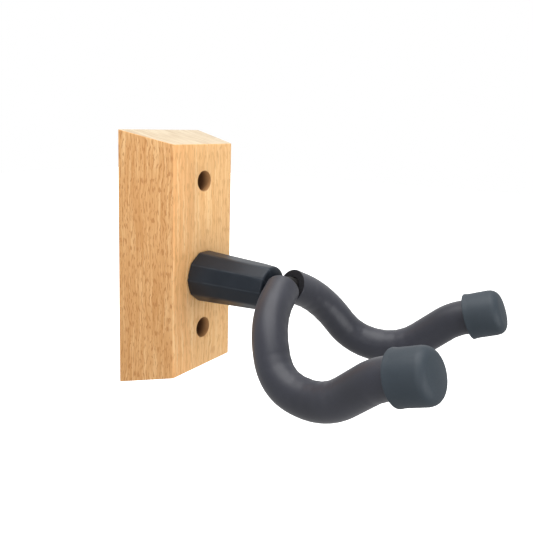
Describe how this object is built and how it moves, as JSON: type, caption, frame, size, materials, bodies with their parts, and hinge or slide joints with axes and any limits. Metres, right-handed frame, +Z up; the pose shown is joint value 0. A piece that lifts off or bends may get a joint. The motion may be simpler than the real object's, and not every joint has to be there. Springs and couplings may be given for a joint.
{
  "type": "wall guitar hanger",
  "caption": "Wall-mounted guitar hanger: a bevelled wood block, a faceted shaft sleeve and a swivelling padded yoke whose two capped arms carry the headstock.",
  "frame": {"origin": "centre of the wood block's back face, on the wall plane", "axes": "+Z up, -Y out of the wall into the room, +X to the right as seen facing the wall"},
  "size_m": [0.0866, 0.1328, 0.1],
  "materials": {
    "beech": "fine-grained beech, sanded and clear-sealed, satin",
    "black_plastic": "near-black moulded plastic, semi-gloss",
    "foam_rubber": "dark grey soft tubing, dull sheen",
    "cap_vinyl": "slate-grey moulded vinyl, matte",
    "black_steel": "black-coated steel",
    "zinc_steel": "zinc-plated steel",
    "nylon": "natural white nylon"
  },
  "bodies": {
    "block": {"wood_block": "beech", "front_bush": "nylon", "rear_bush": "nylon", "thrust_washer": "nylon"},
    "yoke": {"swivel_shaft": "zinc_steel", "collar": "black_plastic", "yoke_rod": "black_steel", "weld_bead": "black_steel", "foam_sleeve_left": "foam_rubber", "foam_sleeve_right": "foam_rubber", "end_cap_left": "cap_vinyl", "end_cap_right": "cap_vinyl", "flat_washer": "zinc_steel", "spring_washer": "zinc_steel", "lock_nut": "zinc_steel", "lock_nut_insert": "nylon"}
  },
  "joints": [
    {"name": "yoke_swivel", "type": "hinge", "parent": "block", "child": "yoke", "pos_m": [0, -0.0231, -0.0075], "axis": [0, -1, 0], "continuous": true}
  ]
}
